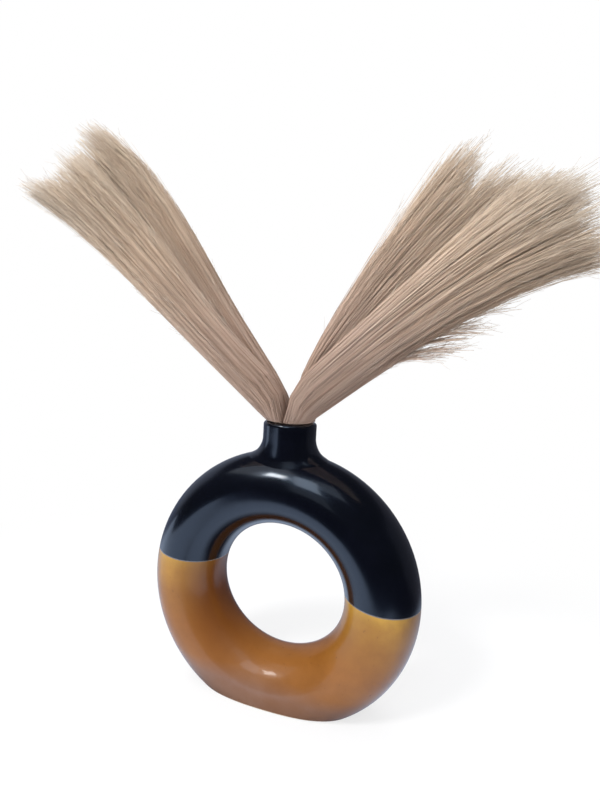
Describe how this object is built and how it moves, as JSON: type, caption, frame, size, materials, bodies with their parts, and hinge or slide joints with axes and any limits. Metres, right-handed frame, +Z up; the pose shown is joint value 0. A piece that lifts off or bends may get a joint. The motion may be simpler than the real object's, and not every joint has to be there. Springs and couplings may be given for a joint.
{
  "type": "donut vase with dried plumes",
  "caption": "Ring-shaped glazed stoneware vase with a short flared neck and a flat foot, holding dried grass plumes that fan out to both sides.",
  "frame": {"origin": "middle of the flat foot, on the table", "axes": "+Z up through the neck, the ring stands in the XZ plane, its front faces -Y, +X is the right hand side seen from the front"},
  "size_m": [0.3566, 0.0693, 0.3682],
  "materials": {
    "stoneware": "bare fired clay, fine grained and matt",
    "clear_liner": "clear glaze poured inside over the clay",
    "black_gloss": "blue-black glaze, high gloss",
    "amber_gloss": "amber-brown glaze, high gloss, paler where it runs thin",
    "dry_stem": "dried culm, satin",
    "floral_tape": "brown paper tape, wound and waxed",
    "dry_fibre": "dried plume fibres, dusty pinkish beige, fine and dull"
  },
  "bodies": {
    "vase": {"vase_body": "stoneware", "liner_glaze": "clear_liner", "black_glaze": "black_gloss", "amber_glaze": "amber_gloss"},
    "left_front_plume": {"left_front_stem": "dry_stem", "left_front_tape": "floral_tape", "left_front_head": "dry_fibre"},
    "left_back_plume": {"left_back_stem": "dry_stem", "left_back_tape": "floral_tape", "left_back_head": "dry_fibre"},
    "right_front_plume": {"right_front_stem": "dry_stem", "right_front_tape": "floral_tape", "right_front_head": "dry_fibre"},
    "right_back_plume": {"right_back_stem": "dry_stem", "right_back_tape": "floral_tape", "right_back_head": "dry_fibre"}
  },
  "joints": [
    {"name": "left_front_lift", "type": "slide", "parent": "vase", "child": "left_front_plume", "axis": [-0.4276, 0, 0.904], "range_m": [0, 0.085]},
    {"name": "left_back_lift", "type": "slide", "parent": "vase", "child": "left_back_plume", "axis": [-0.4347, 0, 0.9006], "range_m": [0, 0.085]},
    {"name": "right_front_lift", "type": "slide", "parent": "vase", "child": "right_front_plume", "axis": [0.4347, 0, 0.9006], "range_m": [0, 0.085]},
    {"name": "right_back_lift", "type": "slide", "parent": "vase", "child": "right_back_plume", "axis": [0.4276, 0, 0.904], "range_m": [0, 0.085]}
  ]
}
